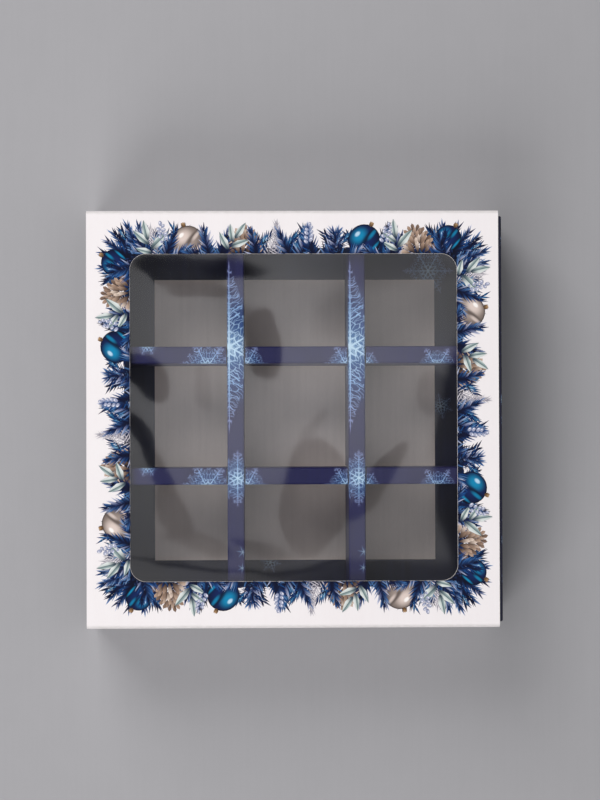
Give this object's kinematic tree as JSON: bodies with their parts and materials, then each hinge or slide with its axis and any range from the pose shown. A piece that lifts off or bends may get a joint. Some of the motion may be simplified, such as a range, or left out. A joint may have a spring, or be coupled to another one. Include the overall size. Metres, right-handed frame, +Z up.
{
  "type": "candy box",
  "caption": "Flat square sliding candy box: a boxboard sleeve with a film window, and a tray that slotted dividers part into square cells.",
  "frame": {"origin": "middle of the box's outline, on the surface it lies on", "axes": "+X the way the tray stands out and slides, +Y towards the back fold, +Z up through the window"},
  "size_m": [0.1462, 0.1468, 0.035],
  "materials": {
    "sleeve_board": "white coated boxboard, satin, printed border round the window",
    "clear_film": "clear glossy window film",
    "bare_board": "bare pale back of the board, matt, with fine streaks of its grain",
    "tray_print": "near-black navy print with pale snow crystals, satin",
    "divider_print": "navy print with pale blue snow crystals, satin"
  },
  "bodies": {
    "sleeve": {"sleeve_top": "sleeve_board", "sleeve_front": "sleeve_board", "sleeve_back": "sleeve_board", "sleeve_base": "sleeve_board", "sleeve_seam_flap": "sleeve_board", "window_film": "clear_film"},
    "tray": {"tray_floor": "bare_board", "tray_wall_left": "tray_print", "tray_wall_right": "tray_print", "tray_wall_front": "tray_print", "tray_wall_back": "tray_print", "tray_rim_left": "tray_print", "tray_rim_right": "tray_print", "tray_rim_front": "tray_print", "tray_rim_back": "tray_print", "tray_lining_left": "tray_print", "tray_lining_right": "tray_print", "tray_lining_front": "tray_print", "tray_lining_back": "tray_print", "tray_flap_left": "tray_print", "tray_flap_right": "tray_print", "tray_flap_front": "tray_print", "tray_flap_back": "tray_print", "long_divider_left": "divider_print", "long_divider_right": "divider_print", "cross_divider_front": "divider_print", "cross_divider_back": "divider_print"}
  },
  "joints": [
    {"name": "tray_slide", "type": "slide", "parent": "sleeve", "child": "tray", "axis": [1, 0, 0], "range_m": [-0.148, 0.146]}
  ]
}
